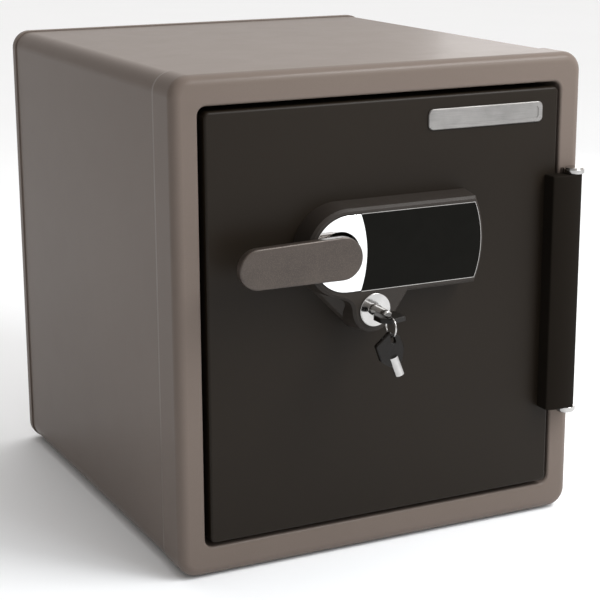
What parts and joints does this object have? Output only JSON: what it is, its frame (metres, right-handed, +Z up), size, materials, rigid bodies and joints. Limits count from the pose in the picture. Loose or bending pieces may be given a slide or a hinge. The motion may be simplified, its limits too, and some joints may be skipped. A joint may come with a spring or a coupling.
{
  "type": "fire-resistant safe",
  "caption": "Free-standing fire safe with a bar-hinged door, lever handle, touch panel, key override, thrown bolts and an insulated cavity with a shelf.",
  "frame": {"origin": "centre of the bolt-down circle on the floor, under the middle of the body's footprint", "axes": "+Z up; the door faces -Y; the hinge is on the +X side, so +X is to the right as seen from the front"},
  "size_m": [0.415, 0.524, 0.453],
  "materials": {
    "body_paint": "satin powder coat",
    "door_paint": "satin powder coat",
    "bar_paint": "satin powder coat",
    "insulation": "cast, matte",
    "liner_plastic": "fine texture",
    "shelf_plastic": "fine texture",
    "bearing_plastic": "moulded nylon",
    "lead_plastic": "cable jacket",
    "housing_plastic": "satin moulded",
    "bow_plastic": "satin moulded",
    "board_green": "solder mask",
    "cell_jacket": "printed sleeve",
    "seal_rubber": "matte",
    "zinc_steel": "zinc plated",
    "chrome_steel": "polished",
    "bush_brass": "turned",
    "bright_plate": "polished",
    "trim_metal": "polished",
    "plate_metal": "brushed",
    "handle_metal": "metallic satin",
    "panel_glass": "black, glossy"
  },
  "bodies": {
    "cabinet": {"front_frame": "body_paint", "outer_wrap": "body_paint", "rear_panel": "body_paint", "body_insulation": "insulation", "inner_liner": "liner_plastic", "bolt_keeper": "zinc_steel", "door_seal": "seal_rubber", "shelf": "shelf_plastic", "rubber_feet": "seal_rubber", "foot_screws": "zinc_steel", "hinge_bracket_lower": "chrome_steel", "hinge_bracket_upper": "chrome_steel", "hinge_pin_lower": "chrome_steel", "hinge_pin_upper": "chrome_steel"},
    "door": {"door_skin": "door_paint", "door_insulation": "insulation", "door_back_plate": "zinc_steel", "door_inner_panel": "liner_plastic", "inner_panel_screws": "zinc_steel", "door_pocket": "shelf_plastic", "key_rack": "shelf_plastic", "hinge_bar": "bar_paint", "hinge_bushes": "bush_brass", "hinge_bar_screws": "zinc_steel", "bolt_guide": "zinc_steel", "bolt_guide_screws": "zinc_steel", "spindle_bush": "bearing_plastic", "spindle_collar": "bearing_plastic", "solenoid_body": "zinc_steel", "solenoid_lead": "lead_plastic", "control_housing": "housing_plastic", "housing_screws": "zinc_steel", "escutcheon_plate": "bright_plate", "touch_glass": "panel_glass", "glass_trim": "trim_metal", "circuit_board": "board_green", "battery_tray": "housing_plastic", "batteries": "cell_jacket", "lock_body": "chrome_steel", "lock_nut": "bush_brass", "nameplate": "plate_metal"},
    "handle": {"handle_lever": "handle_metal", "spindle": "zinc_steel", "drive_crank": "zinc_steel", "crank_retainer": "zinc_steel"},
    "bolts": {"locking_bolts": "chrome_steel", "bolt_carriage": "zinc_steel"},
    "plunger": {"solenoid_plunger": "zinc_steel"},
    "key": {"lock_plug": "chrome_steel", "lock_cam": "zinc_steel", "key_barrel": "chrome_steel", "key_bow": "bow_plastic"},
    "key_ring": {"key_ring": "chrome_steel"},
    "spare_key": {"spare_key_bow": "bow_plastic", "spare_key_barrel": "chrome_steel"}
  },
  "joints": [
    {"name": "door_swing", "type": "hinge", "parent": "cabinet", "child": "door", "pos_m": [0.1945, -0.2346, 0.228], "axis": [0, 0, 1], "range_deg": [0, 115]},
    {"name": "handle_turn", "type": "hinge", "parent": "door", "child": "handle", "pos_m": [-0.0645, -0.224, 0.292], "axis": [0, -1, 0], "range_deg": [0, 70]},
    {"name": "bolt_slide", "type": "slide", "parent": "door", "child": "bolts", "axis": [-1, 0, 0], "range_m": [0, 0.02]},
    {"name": "plunger_lift", "type": "slide", "parent": "door", "child": "plunger", "axis": [0, 0, 1], "range_m": [0, 0.005]},
    {"name": "key_turn", "type": "hinge", "parent": "door", "child": "key", "pos_m": [-0.028, -0.224, 0.239], "axis": [0, 1, 0], "range_deg": [0, 90]},
    {"name": "ring_swing", "type": "hinge", "parent": "key", "child": "key_ring", "pos_m": [-0.033, -0.2905, 0.233], "axis": [1, 0, 0], "range_deg": [-18, 18]},
    {"name": "spare_key_swing", "type": "hinge", "parent": "key_ring", "child": "spare_key", "pos_m": [-0.033, -0.2905, 0.2243], "axis": [0, 1, 0], "range_deg": [-30, 30]}
  ],
  "couplings": [
    {"joint": "bolt_slide", "follows": "handle_turn", "m_per_rad": 0.016362}
  ]
}
